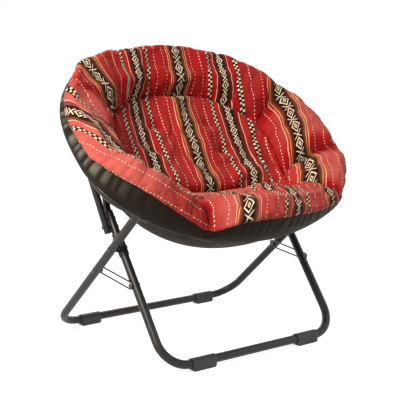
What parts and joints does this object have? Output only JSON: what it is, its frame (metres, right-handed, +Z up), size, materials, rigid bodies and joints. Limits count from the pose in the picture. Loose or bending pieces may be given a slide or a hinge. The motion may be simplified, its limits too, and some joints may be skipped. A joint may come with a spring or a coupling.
{
  "type": "folding saucer chair",
  "caption": "Round padded saucer seat on a hinged steel hoop, carried by crossed folding leg frames of black tube.",
  "frame": {"origin": "on the floor, under the middle of the whole chair's box", "axes": "+X to the chair's side, -Y to the front, +Z up"},
  "size_m": [0.7708, 0.5272, 0.7287],
  "materials": {
    "black_steel": "satin black powder coat",
    "black_plastic": "moulded black plastic",
    "plated_steel": "dark plated steel",
    "striped_fabric": "woven red striped cotton over wadding",
    "black_cloth": "black woven polyester with a soft sheen"
  },
  "bodies": {
    "front_frame": {"front_leg_frame": "black_steel", "front_feet": "black_plastic", "scissor_sleeves": "black_plastic", "scissor_spacers": "black_plastic", "scissor_rivets": "plated_steel", "back_posts": "black_steel", "post_rivets": "plated_steel", "seat_support_bar": "black_steel", "side_stays": "black_steel", "stay_end_caps": "black_plastic", "stay_washers": "plated_steel", "stay_rivets": "plated_steel", "rear_hoop": "black_steel", "rear_hinge_clevises": "plated_steel", "hinge_washers": "black_plastic", "hinge_rivets": "plated_steel", "limiter_front_pins": "plated_steel", "rear_rim_roll": "striped_fabric", "back_cushion": "striped_fabric", "rear_cover": "black_cloth"},
    "rear_frame": {"rear_leg_frame": "black_steel", "rear_feet": "black_plastic", "hoop_saddles": "black_plastic", "saddle_rivets": "plated_steel", "limiter_bushes": "black_plastic", "limiter_rear_pins": "plated_steel"},
    "seat_front": {"front_hoop": "black_steel", "front_hinge_tongues": "plated_steel", "front_rim_roll": "striped_fabric", "seat_cushion": "striped_fabric", "front_cover": "black_cloth"},
    "limiter_wires": {"limiter_loops": "plated_steel"}
  },
  "joints": [
    {"name": "leg_fold", "type": "hinge", "parent": "front_frame", "child": "rear_frame", "pos_m": [0, -0.0248, 0.2571], "axis": [-1, 0, 0], "range_deg": [0, 60]},
    {"name": "seat_fold", "type": "hinge", "parent": "front_frame", "child": "seat_front", "pos_m": [0, -0.0635, 0.447], "axis": [-1, 0, 0], "range_deg": [0, 100]},
    {"name": "limiter_swing", "type": "hinge", "parent": "rear_frame", "child": "limiter_wires", "pos_m": [0, 0.04679, 0.19465], "axis": [-1, 0, 0], "range_deg": [-30, 0]}
  ],
  "couplings": [
    {"joint": "seat_fold", "follows": "leg_fold", "ratio": 1.6666},
    {"joint": "limiter_swing", "follows": "leg_fold", "ratio": -0.5}
  ]
}
